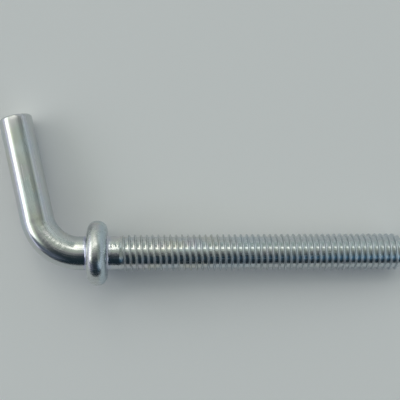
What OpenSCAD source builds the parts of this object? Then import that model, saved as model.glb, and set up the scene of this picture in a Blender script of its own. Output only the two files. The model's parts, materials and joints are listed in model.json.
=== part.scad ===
// Bolt-type hinge pin: one round steel bar with a smooth journal for the hinge eye, a bend,
// an upset collar that seats against the post, and a threaded shank that goes through it.
// The origin is the middle of the collar's seat. The pin lies as it comes to rest on a flat floor,
// on three points: the collar's rim, the thread's last full turn and the edge of the journal's free end.

/* [Bar] */
// Diameter of the round bar, which the journal, the neck and the plain shank keep
bar_d = 7.1; // [6.6:0.1:7.6]

/* [Journal] */
// Straight length of the journal, from the bend to its free end
journal_len = 22.5; // [14:0.5:40]
// Radius round the edge of the journal's free end
journal_edge_r = 0.5; // [0.2:0.1:1.2]

/* [Bend] */
// Angle between the journal and the threaded shank
bend_angle = 103; // [90:1:120]
// Radius of the bend, to the middle of the bar
bend_r = 9.4; // [7:0.2:14]
// Diameter that the bar loses in the bend, where bending stretches it
bend_thin = 0.1; // [0.06:0.02:0.4]

/* [Collar] */
// Straight length of bar between the bend and the collar
neck_len = 1.5; // [1:0.1:8]
// Diameter over the collar's rim
collar_d = 13.7; // [12.7:0.1:18]
// Thickness of the collar
collar_t = 4.2; // [4.1:0.1:6]
// Radius of both edges of the collar's rim, which leave only a narrow band between them
collar_edge_r = 2.0; // [0.6:0.05:2.05]
// Radius of the fillets where the collar meets the bar
collar_root_r = 0.5; // [0.4:0.05:0.7]

/* [Thread] */
// Plain length of shank between the collar's seat and the thread
shank_len = 2.8; // [1:0.1:12]
// Length of the thread, to the end of the shank
thread_len = 59.6; // [30:0.2:100]
// Diameter over the thread's crests
thread_d = 7.8; // [7.7:0.05:8]
// Pitch of the thread, which also sets its run-out and its end chamfer
thread_pitch = 1.25; // [1:0.05:1.5]

/* [Hidden] */
$fn = 96;

bar_r = bar_d / 2;
collar_r = collar_d / 2;
thread_r = thread_d / 2;
// Depth of a rolled metric thread in pitches, all of which the end chamfer takes off
depth_share = 0.613;
thread_depth = depth_share * thread_pitch;
// The rolled crests rise from the plain shank within half a turn
runout_turns = 0.5;
runout_len = runout_turns * thread_pitch;

// Places along the shank's axis, from the seat
bend_end_x = -collar_t - neck_len;
thread_x = shank_len;
end_x = shank_len + thread_len;
last_crest_x = end_x - thread_depth;

// The bend turns the bar from the shank to the journal
bend_turn = 180 - bend_angle;
// Its thinner bar starts this far inside each straight arm, still within their skin
bend_lap = 2;
journal_dir = [-cos(bend_turn), sin(bend_turn), 0];
bend_start = [bend_end_x - bend_r * sin(bend_turn), bend_r - bend_r * cos(bend_turn), 0];
// The two axes cross here, outside the bend
bend_tangent = bend_r * tan(bend_turn / 2);
cross_x = bend_end_x - bend_tangent;

// Pitch of the resting pin: the collar's front edge and the thread's last crest touch the floor together
rim_ring_r = collar_r - collar_edge_r;
rest_run = last_crest_x + collar_edge_r;
rest_drop = rim_ring_r - thread_r;
rest_pitch = asin(collar_edge_r / norm([rest_run, rest_drop])) + atan2(rest_drop, rest_run);
// Height of the origin over that floor
rest_height = last_crest_x * sin(rest_pitch) + thread_r * cos(rest_pitch);

// Roll of the resting pin: the journal's end edge reaches down to the same floor
tip_ring_r = bar_r - journal_edge_r;
tip_run = bend_tangent + journal_len - journal_edge_r;
tip_drop = rest_height - journal_edge_r - cross_x * sin(rest_pitch);
journal_dip = asin(tip_drop / norm([tip_run, tip_ring_r])) - atan2(tip_ring_r, tip_run);
rest_roll = asin((sin(journal_dip) - journal_dir.x * sin(rest_pitch)) / (journal_dir.y * cos(rest_pitch)));

// Half section of a round bar from the axis out, its far edge rounded
module rounded_end_section(r, len, edge_r) {
    square([r, len - edge_r]);
    square([r - edge_r, len]);
    translate([r - edge_r, len - edge_r]) circle(edge_r);
}

// Half section of the collar, its seat at zero
module collar_section() {
    translate([0, -collar_t]) square([rim_ring_r, collar_t]);
    translate([0, collar_edge_r - collar_t]) square([collar_r, collar_t - 2 * collar_edge_r]);
    for (y = [-collar_edge_r, collar_edge_r - collar_t])
        translate([rim_ring_r, y]) circle(collar_edge_r);
}

// Half section of the fillet between the bar and a face of the collar, rising from zero
module root_section() {
    difference() {
        square([bar_r + collar_root_r, collar_root_r]);
        translate([bar_r + collar_root_r, collar_root_r]) circle(collar_root_r);
    }
}

// Half section of the threaded length, drawn over its crests
module thread_section() {
    polygon([
        [0, thread_x],
        [bar_r, thread_x],
        [thread_r, thread_x + runout_len],
        [thread_r, last_crest_x],
        [thread_r - thread_depth, end_x],
        [0, end_x]
    ]);
}

// Neck, collar, plain shank and threaded length, turned about one axis along X
module shank() {
    rotate([0, 90, 0]) rotate_extrude() {
        translate([0, bend_end_x]) square([bar_r, thread_x - bend_end_x]);
        collar_section();
        root_section();
        translate([0, -collar_t]) mirror([0, 1]) root_section();
        thread_section();
    }
}

// Quarter of a ring, nearly, that carries the bar round from the shank to the journal
module bend() {
    translate([bend_end_x, bend_r, 0])
        rotate([0, 0, -90 - bend_turn - bend_lap])
            rotate_extrude(angle = bend_turn + 2 * bend_lap)
                translate([bend_r, 0]) circle(bar_r - bend_thin / 2);
}

// Smooth arm that the hinge eye turns on
module journal() {
    translate(bend_start)
        rotate([-90, 0, 90 - bend_turn])
            rotate_extrude()
                rounded_end_section(bar_r, journal_len, journal_edge_r);
}

module hinge_pin() {
    color([0.70, 0.72, 0.73])
        rotate([-rest_roll, rest_pitch, 0]) {
            journal();
            bend();
            shank();
        }
}

hinge_pin();
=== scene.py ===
# A bolt-type hinge pin of zinc plated steel, lying on a pale table and seen from straight above.
import json
import math

import bpy
from mathutils import Matrix, Vector


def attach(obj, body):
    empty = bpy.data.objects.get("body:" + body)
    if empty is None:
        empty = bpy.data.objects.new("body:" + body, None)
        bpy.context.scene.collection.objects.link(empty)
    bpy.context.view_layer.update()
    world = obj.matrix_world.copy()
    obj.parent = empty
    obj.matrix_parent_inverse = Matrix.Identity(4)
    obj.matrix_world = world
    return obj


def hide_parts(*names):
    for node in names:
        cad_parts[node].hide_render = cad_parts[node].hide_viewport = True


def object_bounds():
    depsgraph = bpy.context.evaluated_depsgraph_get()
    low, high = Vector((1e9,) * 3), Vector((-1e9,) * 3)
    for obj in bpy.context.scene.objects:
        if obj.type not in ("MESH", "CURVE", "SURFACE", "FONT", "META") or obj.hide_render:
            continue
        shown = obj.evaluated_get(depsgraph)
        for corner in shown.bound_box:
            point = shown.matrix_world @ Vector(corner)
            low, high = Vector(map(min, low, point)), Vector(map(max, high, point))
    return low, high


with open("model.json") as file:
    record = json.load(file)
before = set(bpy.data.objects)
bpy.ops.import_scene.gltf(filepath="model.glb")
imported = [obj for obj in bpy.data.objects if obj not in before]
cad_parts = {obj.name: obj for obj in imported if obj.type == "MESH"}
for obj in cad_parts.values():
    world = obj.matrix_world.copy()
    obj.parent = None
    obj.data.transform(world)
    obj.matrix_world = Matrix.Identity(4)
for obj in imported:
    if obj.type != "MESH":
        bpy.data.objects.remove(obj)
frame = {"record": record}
cad_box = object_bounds()


# Zinc plate
# The finished pin is barrel plated: a few microns of bright zinc under a thin clear passivation, which shows
# faint blue, straw and violet patches. The lines of the drawn bar and small knocks from the barrel show
# through it.
PLATE_GREY = (0.61, 0.63, 0.63, 1.0)
# Blue of the plating's patches, and of a painted reflection along the thread
PATCH_AND_REFLECTION_BLUE = (0.56, 0.62, 0.67, 1.0)
PLATE_STRAW = (0.66, 0.645, 0.58, 1.0)
PLATE_VIOLET = (0.63, 0.60, 0.655, 1.0)
# A painted reflection of bluish light on the collar's seat side
SEAT_BLUE_REFLECTION = (0.50, 0.60, 0.66, 1.0)
POOLED_VIOLET = (0.54, 0.55, 0.76, 1.0)
# A painted reflection of pale blue light, for a streak along the thread near its end
PALE_BLUE_REFLECTION = (0.72, 0.84, 0.92, 1.0)
STRAIGHT = "straight"
# Each kind of patch: tint, noise scales per metre, detail, where in the noise it begins and is full, share
PATCHES = (
    (PATCH_AND_REFLECTION_BLUE, (110.0, 210.0, 210.0), 2.0, (0.42, 0.72), 0.85),
    (PLATE_STRAW, (150.0, 260.0, 240.0), 2.0, (0.52, 0.74), 0.7),
    (PLATE_VIOLET, (190.0, 330.0, 310.0), 1.0, (0.56, 0.76), 0.7),
)
# Noise of each mark on the surface: its scales per metre along, across and up the bar, and its detail
DULL_SPOTS = ((260.0, 520.0, 520.0), 4.0)
DRAWN_LINES = ((45.0, 2600.0, 2600.0), 3.0)
SCRATCHES = ((130.0, 3400.0, 3400.0), 2.0)
PEEL = ((420.0, 640.0, 640.0), 2.0)
SCUFFS = ((1400.0, 900.0, 900.0), 3.0)
# Where in its noise a mark begins and is full, and the roughness it adds there
DULL_RANGE = (0.35, 0.75)
LINE_RANGE = (0.3, 0.7)
SCRATCH_RANGE = (0.58, 0.70)
PLATE_ROUGHNESS = 0.16
DULL_ROUGHNESS = (PLATE_ROUGHNESS - 0.03, PLATE_ROUGHNESS + 0.07)
LINE_ROUGHNESS = (-0.02, 0.03)
SCRATCH_ROUGHNESS = (0.0, 0.16)
COLLAR_ROUGHNESS = 0.09
FLANK_ROUGHNESS = 0.22
BEND_ROUGHNESS = 0.11
# Relief of the marks in metres, and the share of the scuffs on each scuffed place
LINE_HEIGHT = 6.0e-6
PEEL_HEIGHT = 1.0e-5
SCUFF_HEIGHT = 1.5e-4
BEND_SCUFFED = 0.6
SHANK_SCUFFED = 0.5
COLLAR_SCUFFED = 0.2
# Zones along the straight bar, in metres from the collar's seat: where they fade in, and out if they end
BEND_STRETCH = (-0.0190, -0.0125, -0.0100, -0.0072)
NECK_FILLET = (-0.0052, -0.0046, -0.0042, -0.0038)
SEAT_SIDE = (-0.0020, -0.0008)
SHANK_FILLET = (-0.0004, 0.0, 0.0006, 0.0011)
PLAIN_SHANK = (0.0004, 0.0008, 0.0026, 0.0030)
THREADED = (0.0028, 0.0034)
# Where a painted reflection of bluish light grows along the thread
BLUE_REFLECTION_ALONG = (0.010, 0.062)
# Where the painted streak of pale blue reflection fades in near the thread's end
STREAK_ALONG = (0.026, 0.056)
# Zones across it, where more is nearer the inside of the bend
BEND_INSIDE = (-0.0018, 0.0006)
# Where that painted streak of reflection lies round the thread
STREAK_ACROSS = (-0.0021, -0.0016, -0.0016, 0.0002)
# Zones off its axis
COLLAR_SKIN = (0.0040, 0.0048)
FILLET_SKIN = (0.0040, 0.0046)
FLANK_SKIN = (0.00340, 0.00346, 0.00380, 0.00388)
# Shares of the tints in those zones
# Share of the painted bluish reflection on the collar's seat side
SEAT_SHARE = 0.8
FILLET_SHARE = 0.65
SHANK_FILLET_SHARE = 0.5
# Share of the painted bluish reflection along the thread
BLUE_REFLECTION_SHARE = 0.6
RISING = (0.0, 1.0)
FALLING = (1.0, 0.0)


def feed(tree, node, socket, value):
    """Sets a node's input, or links it where the value is another node's output."""
    if isinstance(value, bpy.types.NodeSocket):
        tree.links.new(value, node.inputs[socket])
    else:
        node.inputs[socket].default_value = value


def place(tree, kind, settings=None, **inputs):
    """Adds a node with its settings, and with inputs by name, where an underscore stands for a space."""
    node = tree.nodes.new(kind)
    for name, value in (settings or {}).items():
        setattr(node, name, value)
    for name, value in inputs.items():
        feed(tree, node, name.replace("_", " "), value)
    return node


def calc(tree, operation, *operands):
    """Adds a math node and returns its result."""
    node = tree.nodes.new("ShaderNodeMath")
    node.operation = operation
    for index, operand in enumerate(operands):
        feed(tree, node, index, operand)
    return node.outputs[0]


def vector_of(tree, x, y, z):
    """Adds a node that puts three numbers into a vector."""
    return place(tree, "ShaderNodeCombineXYZ", X=x, Y=y, Z=z).outputs[0]


def parts_of(tree, vector):
    """Adds a node that takes a vector apart, and returns its outputs."""
    return place(tree, "ShaderNodeSeparateXYZ", Vector=vector).outputs


def stretched_noise(tree, coordinates, scale, detail):
    """Noise on the straight bar's own coordinates, with a scale of its own along the bar."""
    stretch = place(tree, "ShaderNodeVectorMath", {"operation": "MULTIPLY"})
    feed(tree, stretch, 0, coordinates)
    feed(tree, stretch, 1, scale)
    noise = place(tree, "ShaderNodeTexNoise", Vector=stretch.outputs[0], Scale=1.0, Detail=detail)
    return noise.outputs["Fac"]


def spread(tree, value, limits, to=RISING):
    """Maps a value smoothly from between two limits to between two others, and holds it beyond them."""
    node = place(tree, "ShaderNodeMapRange", {"interpolation_type": "SMOOTHSTEP"}, Value=value)
    feed(tree, node, "From Min", limits[0])
    feed(tree, node, "From Max", limits[1])
    feed(tree, node, "To Min", to[0])
    feed(tree, node, "To Max", to[1])
    return node.outputs["Result"]


def band(tree, value, zone):
    """One inside a zone and zero outside it, faded between its first two limits and between its last two."""
    fades_in = spread(tree, value, zone[:2])
    return calc(tree, "MULTIPLY", fades_in, spread(tree, value, zone[2:], FALLING))


def tinted(tree, under, tint, share):
    """Lays a tint over a colour."""
    node = place(tree, "ShaderNodeMix", {"data_type": "RGBA"})
    feed(tree, node, "Factor", share)
    feed(tree, node, 6, under)
    feed(tree, node, 7, tint)
    return node.outputs[2]


zinc_plate = bpy.data.materials.new("zinc_plate")
zinc_plate.use_nodes = True
coat = zinc_plate.node_tree
coat.nodes.clear()
on_bar = place(coat, "ShaderNodeAttribute", {"attribute_name": STRAIGHT}).outputs["Vector"]
bar_spot = parts_of(coat, on_bar)
off_axis = place(coat, "ShaderNodeVectorMath", {"operation": "LENGTH"})
feed(coat, off_axis, 0, vector_of(coat, 0.0, bar_spot["Y"], bar_spot["Z"]))
radius = off_axis.outputs["Value"]
colour = PLATE_GREY
for tint, scale, detail, limits, share in PATCHES:
    patches = stretched_noise(coat, on_bar, scale, detail)
    colour = tinted(coat, colour, tint, spread(coat, patches, limits, (0.0, share)))
drawn_lines = stretched_noise(coat, on_bar, *DRAWN_LINES)
roughness = spread(coat, stretched_noise(coat, on_bar, *DULL_SPOTS), DULL_RANGE, DULL_ROUGHNESS)
roughness = calc(coat, "ADD", roughness, spread(coat, drawn_lines, LINE_RANGE, LINE_ROUGHNESS))
scratched = spread(coat, stretched_noise(coat, on_bar, *SCRATCHES), SCRATCH_RANGE, SCRATCH_ROUGHNESS)
roughness = calc(coat, "ADD", roughness, scratched)
# The upset collar and the rolled flanks of the thread keep a duller skin, and so does the inside of the bend.
upset = spread(coat, radius, COLLAR_SKIN)
on_flank = calc(coat, "MULTIPLY", band(coat, radius, FLANK_SKIN), spread(coat, bar_spot["X"], THREADED))
in_bend = band(coat, bar_spot["X"], BEND_STRETCH)
in_bend = calc(coat, "MULTIPLY", in_bend, spread(coat, bar_spot["Y"], BEND_INSIDE))
roughness = calc(coat, "MULTIPLY_ADD", upset, COLLAR_ROUGHNESS, roughness)
roughness = calc(coat, "MULTIPLY_ADD", on_flank, FLANK_ROUGHNESS, roughness)
roughness = calc(coat, "MULTIPLY_ADD", in_bend, BEND_ROUGHNESS, roughness)
# The seat side of the collar, and the thread more and more towards its end, are tinted bluish: a painted
# reflection of bluish light. The passivation pools violet in the collar's two fillets. The bluest tint, a
# paler streak near the thread's end, is a painted reflection of pale blue light.
seat_reflection = calc(coat, "MULTIPLY", upset, spread(coat, bar_spot["X"], SEAT_SIDE, (0.0, SEAT_SHARE)))
colour = tinted(coat, colour, SEAT_BLUE_REFLECTION, seat_reflection)
by_shank = calc(coat, "MULTIPLY", band(coat, bar_spot["X"], SHANK_FILLET), SHANK_FILLET_SHARE)
pooled = calc(coat, "MAXIMUM", band(coat, bar_spot["X"], NECK_FILLET), by_shank)
pooled = calc(coat, "MULTIPLY", pooled, spread(coat, radius, FILLET_SKIN, (FILLET_SHARE, 0.0)))
colour = tinted(coat, colour, POOLED_VIOLET, pooled)
# A painted reflection of bluish light, growing along the thread towards its end
colour = tinted(coat, colour, PATCH_AND_REFLECTION_BLUE, spread(coat, bar_spot["X"], BLUE_REFLECTION_ALONG, (0.0, BLUE_REFLECTION_SHARE)))
# A painted streak of pale blue reflection along the thread near its end
painted_streak = spread(coat, bar_spot["X"], STREAK_ALONG)
painted_streak = calc(coat, "MULTIPLY", painted_streak, band(coat, bar_spot["Y"], STREAK_ACROSS))
colour = tinted(coat, colour, PALE_BLUE_REFLECTION, painted_streak)
# The tools scuff the inside of the bend, the plain shank and, less, the collar.
uneven = calc(coat, "MULTIPLY", band(coat, bar_spot["X"], PLAIN_SHANK), SHANK_SCUFFED)
uneven = calc(coat, "MULTIPLY_ADD", in_bend, BEND_SCUFFED, uneven)
uneven = calc(coat, "MULTIPLY_ADD", upset, COLLAR_SCUFFED, uneven)
scuffed = calc(coat, "MULTIPLY", stretched_noise(coat, on_bar, *SCUFFS), uneven)
peel = stretched_noise(coat, on_bar, *PEEL)
lines_bump = place(coat, "ShaderNodeBump", Strength=1.0, Distance=LINE_HEIGHT, Height=drawn_lines)
peel_bump = place(coat, "ShaderNodeBump", Strength=1.0, Distance=PEEL_HEIGHT, Height=peel)
feed(coat, peel_bump, "Normal", lines_bump.outputs["Normal"])
scuff_bump = place(coat, "ShaderNodeBump", Strength=1.0, Distance=SCUFF_HEIGHT, Height=scuffed)
feed(coat, scuff_bump, "Normal", peel_bump.outputs["Normal"])
metal = place(
    coat,
    "ShaderNodeBsdfPrincipled",
    Base_Color=colour,
    Metallic=1.0,
    Roughness=roughness,
    Normal=scuff_bump.outputs["Normal"],
)
feed(coat, place(coat, "ShaderNodeOutputMaterial"), "Surface", metal.outputs["BSDF"])


# Bar
# One length of drawn round steel: the journal that the hinge eye turns on, the bend, a short neck, the collar
# that is upset from the bar so that it seats against the post, and the plain shank up to the thread.
# Its sizes are in metres.
BAR_R = 0.00355
JOURNAL_LEN = 0.0225
JOURNAL_EDGE_R = 0.0005
BEND_TURN = math.radians(77.0)
BEND_R = 0.0094
BEND_THIN = 0.00005
NECK_LEN = 0.0015
COLLAR_R = 0.00685
COLLAR_T = 0.0042
COLLAR_EDGE_R = 0.002
COLLAR_ROOT_R = 0.0005
SHANK_LEN = 0.0028
BEND_START = -COLLAR_T - NECK_LEN
BEND_END = BEND_START - BEND_R * BEND_TURN
JOURNAL_TIP = BEND_END - JOURNAL_LEN
# The bar thins within this share of the bend from either end
THINNING_SHARE = 0.1
# Sides round the bar, rings on the journal's end face by share of its radius, and steps along each stretch
BAR_SIDES = 72
TIP_RINGS = (0.0, 0.5, 0.9)
EDGE_STEPS = 8
JOURNAL_STEPS = 24
BEND_STEPS = 56
NECK_STEPS = 4
ROOT_STEPS = 10
RIM_STEPS = 20
SHANK_STEPS = 6
BAKE_MAP = "OFBake"
BAR_BAKE = (0.002, 0.298)
WELD = 2.0e-6


def rounding(along, radius, edge, first, last, steps):
    """Points of an arc in the bar's half section, between two angles in degrees from the bar's direction."""
    points = []
    for step in range(steps + 1):
        angle = math.radians(first + (last - first) * step / steps)
        points.append((along + edge * math.cos(angle), radius + edge * math.sin(angle)))
    return points


def straight_run(first, last, radius, steps):
    """Points along a plain stretch of the bar, without its two ends."""
    return [(first + (last - first) * step / steps, radius) for step in range(1, steps)]


def bend_run(steps):
    """Points along the bend, where the stretched bar is a little thinner."""
    points = []
    for step in range(steps + 1):
        share = step / steps
        ease = min(1.0, min(share, 1.0 - share) / THINNING_SHARE)
        thinner = BEND_THIN * ease * ease * (3.0 - 2.0 * ease)
        points.append((BEND_END + (BEND_START - BEND_END) * share, BAR_R - thinner))
    return points


tip_face_r = BAR_R - JOURNAL_EDGE_R
seat_ring_r = BAR_R + COLLAR_ROOT_R
rim_ring_r = COLLAR_R - COLLAR_EDGE_R
face_middle_r = (seat_ring_r + rim_ring_r) / 2.0
bar_section = [(JOURNAL_TIP, tip_face_r * share) for share in TIP_RINGS]
bar_section += rounding(JOURNAL_TIP + JOURNAL_EDGE_R, tip_face_r, JOURNAL_EDGE_R, 180.0, 90.0, EDGE_STEPS)
bar_section += straight_run(JOURNAL_TIP + JOURNAL_EDGE_R, BEND_END, BAR_R, JOURNAL_STEPS)
bar_section += bend_run(BEND_STEPS)
bar_section += straight_run(BEND_START, -COLLAR_T - COLLAR_ROOT_R, BAR_R, NECK_STEPS)
bar_section += rounding(-COLLAR_T - COLLAR_ROOT_R, seat_ring_r, COLLAR_ROOT_R, -90.0, 0.0, ROOT_STEPS)
bar_section += [(-COLLAR_T, face_middle_r)]
bar_section += rounding(COLLAR_EDGE_R - COLLAR_T, rim_ring_r, COLLAR_EDGE_R, 180.0, 90.0, RIM_STEPS)
bar_section += rounding(-COLLAR_EDGE_R, rim_ring_r, COLLAR_EDGE_R, 90.0, 0.0, RIM_STEPS)
bar_section += [(0.0, face_middle_r)]
bar_section += rounding(COLLAR_ROOT_R, seat_ring_r, COLLAR_ROOT_R, 180.0, 270.0, ROOT_STEPS)
bar_section += straight_run(COLLAR_ROOT_R, SHANK_LEN, BAR_R, SHANK_STEPS)
bar_section += [(SHANK_LEN, BAR_R)]


def points_object(name, points):
    """An object that only carries points, for a node tree to read."""
    mesh = bpy.data.meshes.new(name)
    mesh.from_pydata([(x, y, 0.0) for x, y in points], [], [])
    made = bpy.data.objects.new(name, mesh)
    bpy.context.scene.collection.objects.link(made)
    return made


def new_tree(name, inputs):
    """A geometry node tree with named inputs, and its first node. Every tree takes and gives one geometry."""
    tree = bpy.data.node_groups.new(name, "GeometryNodeTree")
    tree.interface.new_socket("Geometry", in_out="OUTPUT", socket_type="NodeSocketGeometry")
    tree.interface.new_socket("Geometry", in_out="INPUT", socket_type="NodeSocketGeometry")
    for label, kind in inputs:
        tree.interface.new_socket(label, in_out="INPUT", socket_type="NodeSocket" + kind)
    return tree, tree.nodes.new("NodeGroupInput").outputs


def row_grid(tree, rows, sides):
    """A grid of rows along the bar and columns round it, and the fields that number them."""
    sheet = place(
        tree,
        "GeometryNodeMeshGrid",
        Size_X=calc(tree, "SUBTRACT", rows, 1.0),
        Size_Y=sides,
        Vertices_X=rows,
        Vertices_Y=calc(tree, "ADD", sides, 1.0),
    )
    spot = parts_of(tree, tree.nodes.new("GeometryNodeInputPosition").outputs[0])
    half_rows = calc(tree, "DIVIDE", calc(tree, "SUBTRACT", rows, 1.0), 2.0)
    row = calc(tree, "ROUND", calc(tree, "ADD", spot["X"], half_rows))
    column = calc(tree, "ROUND", calc(tree, "ADD", spot["Y"], calc(tree, "DIVIDE", sides, 2.0)))
    return sheet, row, column


def sampled(tree, points, index):
    """The first two coordinates of one of the points, by its number."""
    pick = place(tree, "GeometryNodeSampleIndex", {"data_type": "FLOAT_VECTOR"}, Geometry=points, Index=index)
    feed(tree, pick, "Value", tree.nodes.new("GeometryNodeInputPosition").outputs[0])
    found = parts_of(tree, pick.outputs[0])
    return found["X"], found["Y"]


def on_straight_bar(tree, along, radius, column, sides):
    """A point of the bar before it is bent."""
    angle = calc(tree, "MULTIPLY", calc(tree, "DIVIDE", column, sides), math.tau)
    across = calc(tree, "MULTIPLY", radius, calc(tree, "COSINE", angle))
    up = calc(tree, "MULTIPLY", radius, calc(tree, "SINE", angle))
    return across, up, vector_of(tree, along, across, up)


def stored(tree, geometry, kind, domain, name, value):
    """Stores a value on a geometry under a name."""
    node = place(tree, "GeometryNodeStoreNamedAttribute", {"data_type": kind, "domain": domain})
    feed(tree, node, "Geometry", geometry)
    feed(tree, node, "Name", name)
    feed(tree, node, "Value", value)
    return node.outputs["Geometry"]


def kept_on(tree, sheet, straight, bake_from, bake_to):
    """Turns the faces outwards, and keeps each point's place on the straight bar and on the bake's map."""
    # Wrapped round the bar, the grid's upper side would look inwards.
    outward = place(tree, "GeometryNodeFlipFaces", Mesh=sheet.outputs["Mesh"]).outputs["Mesh"]
    with_place = stored(tree, outward, "FLOAT_VECTOR", "POINT", STRAIGHT, straight)
    spot = parts_of(tree, sheet.outputs["UV Map"])
    share = calc(tree, "MULTIPLY_ADD", spot["X"], calc(tree, "SUBTRACT", bake_to, bake_from), bake_from)
    return stored(tree, with_place, "FLOAT2", "CORNER", BAKE_MAP, vector_of(tree, share, spot["Y"], 0.0))


def finished(tree, geometry, material):
    """Welds the seams, shades the surface smooth and ends the tree."""
    welded = place(tree, "GeometryNodeMergeByDistance", Geometry=geometry, Distance=WELD)
    smooth = place(tree, "GeometryNodeSetShadeSmooth", Geometry=welded.outputs["Geometry"])
    real = place(tree, "GeometryNodeRealizeInstances", Geometry=smooth.outputs["Geometry"])
    plated = place(tree, "GeometryNodeSetMaterial", Geometry=real.outputs["Geometry"], Material=material)
    feed(tree, tree.nodes.new("NodeGroupOutput"), "Geometry", plated.outputs["Geometry"])


sweep, given = new_tree(
    "bar_sweep",
    [
        ("Sides", "Int"),
        ("Bend Start", "Float"),
        ("Bend Radius", "Float"),
        ("Bend Turn", "Float"),
        ("Bake From", "Float"),
        ("Bake To", "Float"),
        ("Plating", "Material"),
    ],
)
section_size = place(sweep, "GeometryNodeAttributeDomainSize", Geometry=given["Geometry"])
bar_sheet, bar_row, bar_column = row_grid(sweep, section_size.outputs["Point Count"], given["Sides"])
bar_along, bar_radius = sampled(sweep, given["Geometry"], bar_row)
inwards, upwards, straight_bar = on_straight_bar(sweep, bar_along, bar_radius, bar_column, given["Sides"])
bar_kept = kept_on(sweep, bar_sheet, straight_bar, given["Bake From"], given["Bake To"])
# Past the start of the bend the bar turns about the bend's middle, and past its end it runs straight on.
before = calc(sweep, "MAXIMUM", calc(sweep, "SUBTRACT", given["Bend Start"], bar_along), 0.0)
turned = calc(sweep, "MINIMUM", calc(sweep, "DIVIDE", before, given["Bend Radius"]), given["Bend Turn"])
beyond = calc(sweep, "SUBTRACT", before, calc(sweep, "MULTIPLY", turned, given["Bend Radius"]))
turn_sine = calc(sweep, "SINE", turned)
turn_cosine = calc(sweep, "COSINE", turned)
from_middle = calc(sweep, "SUBTRACT", given["Bend Radius"], inwards)
bent_x = calc(sweep, "MAXIMUM", bar_along, given["Bend Start"])
bent_x = calc(sweep, "SUBTRACT", bent_x, calc(sweep, "MULTIPLY", from_middle, turn_sine))
bent_x = calc(sweep, "SUBTRACT", bent_x, calc(sweep, "MULTIPLY", beyond, turn_cosine))
bent_y = calc(sweep, "SUBTRACT", given["Bend Radius"], calc(sweep, "MULTIPLY", from_middle, turn_cosine))
bent_y = calc(sweep, "ADD", bent_y, calc(sweep, "MULTIPLY", beyond, turn_sine))
bent_place = vector_of(sweep, bent_x, bent_y, upwards)
bent = place(sweep, "GeometryNodeSetPosition", Geometry=bar_kept, Position=bent_place)
finished(sweep, bent.outputs["Geometry"], given["Plating"])


def put_through(target, tree, values):
    """Adds a tree to an object as a modifier, with its inputs set by their identifiers."""
    step = target.modifiers.new(tree.name, "NODES")
    step.node_group = tree
    for socket in tree.interface.items_tree:
        if socket.in_out == "INPUT" and socket.name in values:
            step[socket.identifier] = values[socket.name]


pin = points_object("hinge_pin_plated", bar_section)
put_through(
    pin,
    sweep,
    {
        "Sides": BAR_SIDES,
        "Bend Start": BEND_START,
        "Bend Radius": BEND_R,
        "Bend Turn": BEND_TURN,
        "Bake From": BAR_BAKE[0],
        "Bake To": BAR_BAKE[1],
        "Plating": zinc_plate,
    },
)


# Thread
# Cold rolled on the shank between dies, so its crests stand proud of the plain bar and its rounded roots lie
# below it. It is right-handed with a pitch of 1.25 mm, rises from the shank within a turn, and ends in a
# chamfer and a flat face.
PITCH = 0.00125
CREST_R = 0.0039
THREAD_LEN = 0.0596
CHAMFER = 0.613 * PITCH
RUN_IN = 0.6 * PITCH
THREAD_END = SHANK_LEN + THREAD_LEN
THREAD_BAKE = (0.306, 0.998)
# Turns that move the first crest, turns that the rows start early by, and turns added to fill both ends
CREST_PHASE = 0.41
EARLY_TURNS = 2.0
SPARE_TURNS = 4
# Shares of the pitch, and the flank's angle to a square cut through the thread
THREAD_DEPTH = 0.42
CREST_ROUND = 0.075
ROOT_ROUND = 0.05
FLANK = math.radians(22.0)
ARC_STEPS = 4


def thread_form():
    """One pitch of the thread's outline from crest to crest: along the bar and over the crest, in pitches."""
    steep = math.pi / 2.0 - FLANK
    flank_drop = THREAD_DEPTH - (CREST_ROUND + ROOT_ROUND) * (1.0 - math.cos(steep))
    root_edge = (CREST_ROUND + ROOT_ROUND) * math.sin(steep) + flank_drop * math.tan(FLANK)
    half = []
    for step in range(1, ARC_STEPS + 1):
        angle = steep * step / ARC_STEPS
        half.append((CREST_ROUND * math.sin(angle), -CREST_ROUND * (1.0 - math.cos(angle))))
    for step in range(ARC_STEPS + 1):
        angle = steep * (1.0 - step / ARC_STEPS)
        over_root = ROOT_ROUND * (1.0 - math.cos(angle))
        half.append((root_edge - ROOT_ROUND * math.sin(angle), over_root - THREAD_DEPTH))
    other_half = [(1.0 - at, high) for at, high in reversed(half)]
    return [(0.0, 0.0)] + half + [(0.5, -THREAD_DEPTH)] + other_half


rolling, rolled = new_tree(
    "rolled_thread",
    [
        ("Form", "Object"),
        ("Sides", "Int"),
        ("Turns", "Int"),
        ("Start", "Float"),
        ("End", "Float"),
        ("Pitch", "Float"),
        ("Phase", "Float"),
        ("Bar Radius", "Float"),
        ("Crest Radius", "Float"),
        ("End Radius", "Float"),
        ("Run In", "Float"),
        ("Bake From", "Float"),
        ("Bake To", "Float"),
        ("Plating", "Material"),
    ],
)
form = place(rolling, "GeometryNodeObjectInfo", Object=rolled["Form"]).outputs["Geometry"]
form_size = place(rolling, "GeometryNodeAttributeDomainSize", Geometry=form).outputs["Point Count"]
thread_rows = calc(rolling, "ADD", calc(rolling, "MULTIPLY", rolled["Turns"], form_size), 1.0)
thread_sheet, thread_row, thread_column = row_grid(rolling, thread_rows, rolled["Sides"])
turn_number = calc(rolling, "FLOOR", calc(rolling, "DIVIDE", thread_row, form_size))
form_number = calc(rolling, "SUBTRACT", thread_row, calc(rolling, "MULTIPLY", turn_number, form_size))
form_at, form_low = sampled(rolling, form, calc(rolling, "ROUND", form_number))
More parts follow.
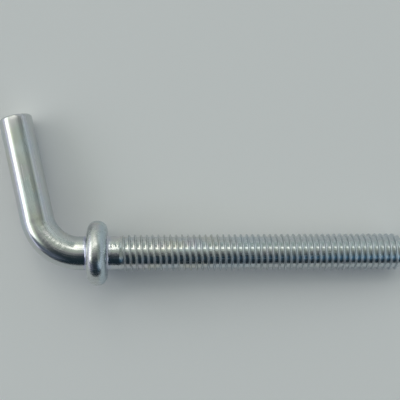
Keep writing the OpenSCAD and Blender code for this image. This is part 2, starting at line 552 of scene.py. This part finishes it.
# Rows run round the bar as the thread does, and start early enough that the first ring is full.
turns_along = calc(rolling, "ADD", turn_number, form_at)
turns_along = calc(rolling, "ADD", turns_along, calc(rolling, "DIVIDE", thread_column, rolled["Sides"]))
turns_along = calc(rolling, "ADD", turns_along, calc(rolling, "SUBTRACT", rolled["Phase"], EARLY_TURNS))
unheld = calc(rolling, "MULTIPLY_ADD", turns_along, rolled["Pitch"], rolled["Start"])
thread_along = calc(rolling, "MINIMUM", calc(rolling, "MAXIMUM", unheld, rolled["Start"]), rolled["End"])
form_radius = calc(rolling, "MULTIPLY_ADD", form_low, rolled["Pitch"], rolled["Crest Radius"])
risen_at = calc(rolling, "ADD", rolled["Start"], rolled["Run In"])
risen = spread(rolling, thread_along, (rolled["Start"], risen_at))
rise = calc(rolling, "SUBTRACT", form_radius, rolled["Bar Radius"])
thread_radius = calc(rolling, "MULTIPLY_ADD", rise, risen, rolled["Bar Radius"])
to_end = calc(rolling, "SUBTRACT", rolled["End"], thread_along)
thread_radius = calc(rolling, "MINIMUM", thread_radius, calc(rolling, "ADD", rolled["End Radius"], to_end))
# Past the end, the rows close over the flat end face within a turn.
past = calc(rolling, "MAXIMUM", calc(rolling, "SUBTRACT", unheld, rolled["End"]), 0.0)
open_share = calc(rolling, "SUBTRACT", 1.0, calc(rolling, "DIVIDE", past, rolled["Pitch"]))
thread_radius = calc(rolling, "MULTIPLY", thread_radius, calc(rolling, "MAXIMUM", open_share, 0.0))
thread_place = on_straight_bar(rolling, thread_along, thread_radius, thread_column, rolled["Sides"])[2]
thread_kept = kept_on(rolling, thread_sheet, thread_place, rolled["Bake From"], rolled["Bake To"])
rolled_up = place(rolling, "GeometryNodeSetPosition", Geometry=thread_kept, Position=thread_place)
both = rolling.nodes.new("GeometryNodeJoinGeometry")
rolling.links.new(rolled["Geometry"], both.inputs[0])
rolling.links.new(rolled_up.outputs["Geometry"], both.inputs[0])
finished(rolling, both.outputs[0], rolled["Plating"])

thread_points = points_object("thread_form", thread_form())
put_through(
    pin,
    rolling,
    {
        "Form": thread_points,
        "Sides": BAR_SIDES,
        "Turns": math.ceil(THREAD_LEN / PITCH) + SPARE_TURNS,
        "Start": SHANK_LEN,
        "End": THREAD_END,
        "Pitch": PITCH,
        "Phase": CREST_PHASE,
        "Bar Radius": BAR_R,
        "Crest Radius": CREST_R,
        "End Radius": CREST_R - CHAMFER,
        "Run In": RUN_IN,
        "Bake From": THREAD_BAKE[0],
        "Bake To": THREAD_BAKE[1],
        "Plating": zinc_plate,
    },
)
graph = bpy.context.evaluated_depsgraph_get()
made_pin = pin.evaluated_get(graph)
pin_mesh = bpy.data.meshes.new_from_object(made_pin, preserve_all_data_layers=True, depsgraph=graph)
pin.modifiers.clear()
# A grid comes with an empty first material slot, which no face of the pin uses.
pin_mesh.materials.pop(index=0)
pin.data = pin_mesh
bpy.data.objects.remove(thread_points)

# The pin lies as the CAD part does: the shank and the journal along the axes of their mounts.
mounts = {mount["name"]: mount for mount in frame["record"]["mounts"]}
shank_way = Vector(mounts["threaded_shank"]["axis"]).normalized()
journal_way = Vector(mounts["hinge_journal"]["axis"])
bend_way = (journal_way - journal_way.dot(shank_way) * shank_way).normalized()
lying = Matrix((shank_way, bend_way, shank_way.cross(bend_way))).transposed().to_4x4()
lying.translation = Vector(mounts["collar_seat"]["pos_m"])
pin_mesh.transform(lying)
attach(pin, "root")
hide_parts("hinge_pin")


# Table
# A plain pale table top of matt painted board, which the pin lies on. It shows only the pin's shadow, and the
# pin's lower sides mirror it.
TABLE_PALE = (0.88, 0.885, 0.92, 1.0)
TABLE_ROUGHNESS = 0.6
TABLE_HALF = 4.0
table_z = cad_box[0].z
table_ways = [(-1, -1), (1, -1), (1, 1), (-1, 1)]
table_corners = [(x * TABLE_HALF, y * TABLE_HALF, table_z) for x, y in table_ways]
table_mesh = bpy.data.meshes.new("table_top")
table_mesh.from_pydata(table_corners, [], [(0, 1, 2, 3)])
table = bpy.data.objects.new("table_top", table_mesh)
bpy.context.scene.collection.objects.link(table)
table_paint = bpy.data.materials.new("table_paint")
table_paint.use_nodes = True
table_shader = table_paint.node_tree.nodes["Principled BSDF"]
table_shader.inputs["Base Color"].default_value = TABLE_PALE
table_shader.inputs["Roughness"].default_value = TABLE_ROUGHNESS
table_mesh.materials.append(table_paint)


# Room light
# A soft studio round the table: a wide window on the left, soft lights overhead towards the back, a pale wall
# with one thin light strip on the right, a little bluish light at the right front, and a front that is nearly
# dark. The metal mirrors all of it.
LEAST_AHEAD = 0.001
ROOM_STRENGTH = 1.18
# The room itself, by how far a direction leans to the back: place on the ramp, and light
FRONT_TO_BACK = (
    (0.00, (0.008, 0.018, 0.026, 1.0)),
    (0.15, (0.014, 0.026, 0.034, 1.0)),
    (0.30, (0.026, 0.037, 0.044, 1.0)),
    (0.41, (0.076, 0.088, 0.098, 1.0)),
    (0.50, (0.270, 0.270, 0.275, 1.0)),
    (0.62, (0.400, 0.450, 0.395, 1.0)),
    (0.80, (0.375, 0.430, 0.385, 1.0)),
    (0.92, (0.245, 0.300, 0.280, 1.0)),
    (1.00, (0.405, 0.475, 0.455, 1.0)),
)
# A dark patch overhead, by how far a direction leans to the right and to the back
OVERHEAD_DARK = (0.02, 0.025, 0.03, 1.0)
OVERHEAD_SHARE = 0.55
OVERHEAD_RIGHT = (-0.02, 0.08)
OVERHEAD_BACK = (0.14, 0.30)
# A pale band round the horizon, by how far a direction leans up, weaker in front
HORIZON_PALE = (0.48, 0.48, 0.48, 1.0)
HORIZON_UP = (0.0, 0.16)
HORIZON_BACK = (-0.9, 0.1)
HORIZON_FRONT_SHARE = 0.2
# Soft lights and walls, each laid over those before it: azimuth of its middle, its angle from straight up,
# half width and half height, the fades of both, all in degrees, and its light
SOFT_PANELS = {
    "blue light, right front": (306.0, 50.0, (15.0, 20.0), (11.0, 10.0), (0.040, 0.092, 0.140, 1.0)),
    "dim light, left front": (222.0, 64.0, (18.0, 16.0), (9.0, 9.0), (0.09, 0.11, 0.15, 1.0)),
    "pale light, right front": (328.0, 57.0, (16.0, 20.0), (8.0, 8.0), (0.66, 0.78, 0.88, 1.0)),
    "right wall": (0.0, 72.0, (45.0, 16.0), (5.0, 5.0), (0.40, 0.43, 0.45, 1.0)),
    "strip on the right wall": (0.0, 64.0, (40.0, 2.5), (5.0, 1.5), (0.60, 0.65, 0.68, 1.0)),
    "ceiling on the right": (8.0, 33.0, (34.0, 13.0), (12.0, 11.0), (0.25, 0.28, 0.25, 1.0)),
    "dark edge of that ceiling": (5.0, 44.0, (30.0, 6.5), (12.0, 4.0), (0.17, 0.19, 0.18, 1.0)),
    "right back corner": (59.0, 64.0, (10.5, 15.0), (6.0, 8.0), (0.58, 0.65, 0.64, 1.0)),
    "lavender wall, low on the left": (178.0, 84.0, (40.0, 8.0), (6.0, 4.0), (0.62, 0.63, 0.78, 1.0)),
    "glow beside the window": (138.0, 60.0, (30.0, 14.0), (10.0, 7.0), (0.90, 0.94, 0.85, 1.0)),
    "glow over the window": (174.0, 48.5, (26.0, 10.0), (8.0, 8.0), (0.76, 0.84, 0.69, 1.0)),
    "window": (172.5, 61.5, (25.0, 11.3), (4.0, 4.0), (1.88, 1.94, 1.88, 1.0)),
    "left back wall": (114.0, 78.0, (20.5, 16.0), (1.5, 6.0), (0.58, 0.63, 0.56, 1.0)),
    "narrow light at the back": (100.3, 50.5, (5.6, 12.0), (1.4, 6.0), (1.90, 1.88, 1.66, 1.0)),
    "overhead light": (106.0, 33.0, (23.0, 4.8), (12.0, 4.0), (1.75, 1.74, 1.60, 1.0)),
}
room = bpy.data.worlds.new("room_light")
bpy.context.scene.world = room
room.use_nodes = True
air = room.node_tree
air.nodes.clear()
toward = place(air, "ShaderNodeTexCoord").outputs["Generated"]


def soft_panel_group():
    """A node group that masks one flat soft light: the directions that fall on it, faded at its edges."""
    group = bpy.data.node_groups.new("soft_panel", "ShaderNodeTree")
    for label, kind in (
        ("Toward", "Vector"),
        ("Facing", "Vector"),
        ("Width Way", "Vector"),
        ("Height Way", "Vector"),
        ("Half Width", "Float"),
        ("Half Height", "Float"),
        ("Width Fade", "Float"),
        ("Height Fade", "Float"),
    ):
        group.interface.new_socket(label, in_out="INPUT", socket_type="NodeSocket" + kind)
    group.interface.new_socket("Mask", in_out="OUTPUT", socket_type="NodeSocketFloat")
    have = group.nodes.new("NodeGroupInput").outputs

    def along(way):
        dot = place(group, "ShaderNodeVectorMath", {"operation": "DOT_PRODUCT"})
        feed(group, dot, 0, have["Toward"])
        feed(group, dot, 1, have[way])
        return dot.outputs["Value"]

    ahead = along("Facing")
    depth = calc(group, "MAXIMUM", ahead, LEAST_AHEAD)
    mask = calc(group, "GREATER_THAN", ahead, 0.0)
    for side in ("Width", "Height"):
        half, fade = have["Half " + side], have[side + " Fade"]
        off = calc(group, "ABSOLUTE", calc(group, "DIVIDE", along(side + " Way"), depth))
        outer = calc(group, "ADD", half, fade)
        inner = calc(group, "SUBTRACT", half, fade)
        mask = calc(group, "MULTIPLY", mask, spread(group, off, (outer, inner)))
    feed(group, group.nodes.new("NodeGroupOutput"), "Mask", mask)
    return group


soft_panel = soft_panel_group()


def slope(degrees):
    """How far a direction at an angle leaves the straight one, for each unit ahead."""
    return math.tan(math.radians(degrees))


def lit_panel(under, azimuth, from_zenith, half_sizes, fades, light):
    """Adds a soft light to the room, by the direction of its middle, half sizes and fades, all in degrees."""
    turn, tilt = math.radians(azimuth), math.radians(from_zenith)
    facing = Vector((math.sin(tilt) * math.cos(turn), math.sin(tilt) * math.sin(turn), math.cos(tilt)))
    width_way = Vector((-math.sin(turn), math.cos(turn), 0.0))
    panel = place(
        air,
        "ShaderNodeGroup",
        {"node_tree": soft_panel},
        Toward=toward,
        Facing=facing,
        Width_Way=width_way,
        Height_Way=facing.cross(width_way),
        Half_Width=slope(half_sizes[0]),
        Half_Height=slope(half_sizes[1]),
        Width_Fade=slope(fades[0]),
        Height_Fade=slope(fades[1]),
    )
    return tinted(air, under, light, panel.outputs["Mask"])


lean = parts_of(air, toward)
back_share = calc(air, "MULTIPLY_ADD", lean["Y"], 0.5, 0.5)
ramp = place(air, "ShaderNodeValToRGB", Fac=back_share)
for at, light in FRONT_TO_BACK[1:-1]:
    ramp.color_ramp.elements.new(at).color = light
ramp.color_ramp.elements[0].color = FRONT_TO_BACK[0][1]
ramp.color_ramp.elements[-1].color = FRONT_TO_BACK[-1][1]
overhead = spread(air, lean["X"], OVERHEAD_RIGHT, (0.0, OVERHEAD_SHARE))
overhead = calc(air, "MULTIPLY", overhead, spread(air, lean["Y"], OVERHEAD_BACK, FALLING))
room_colour = tinted(air, ramp.outputs["Color"], OVERHEAD_DARK, overhead)
horizon = spread(air, lean["Z"], HORIZON_UP, FALLING)
weaker_in_front = spread(air, lean["Y"], HORIZON_BACK, (HORIZON_FRONT_SHARE, 1.0))
horizon = calc(air, "MULTIPLY", horizon, weaker_in_front)
room_colour = tinted(air, room_colour, HORIZON_PALE, horizon)
for panel in SOFT_PANELS.values():
    room_colour = lit_panel(room_colour, *panel)
glow = place(air, "ShaderNodeBackground", Color=room_colour, Strength=ROOM_STRENGTH)
feed(air, place(air, "ShaderNodeOutputWorld"), "Surface", glow.outputs["Background"])


# Camera
# It looks straight down at the pin from a short distance, with the picture's up along the back of the table.
# Its lens follows from how large the pin is in the picture.
CAMERA_OVER = Vector((0.01964, 0.01116, 0.195))
PIXELS_PER_METRE = 4725.0
PICTURE_PIXELS = 400.0
SENSOR_MM = 36.0
PICTURE_TURN = math.radians(-0.15)
NEAREST_SEEN = 0.01
FURTHEST_SEEN = 20.0
eye_data = bpy.data.cameras.new("overhead_camera")
eye_data.sensor_width = SENSOR_MM
eye_data.lens = SENSOR_MM * PIXELS_PER_METRE * CAMERA_OVER.z / PICTURE_PIXELS
eye_data.clip_start = NEAREST_SEEN
eye_data.clip_end = FURTHEST_SEEN
eye = bpy.data.objects.new("overhead_camera", eye_data)
eye.location = CAMERA_OVER
eye.rotation_euler = (0.0, 0.0, PICTURE_TURN)
bpy.context.scene.collection.objects.link(eye)
bpy.context.scene.camera = eye
bpy.context.scene.view_settings.view_transform = "Standard"
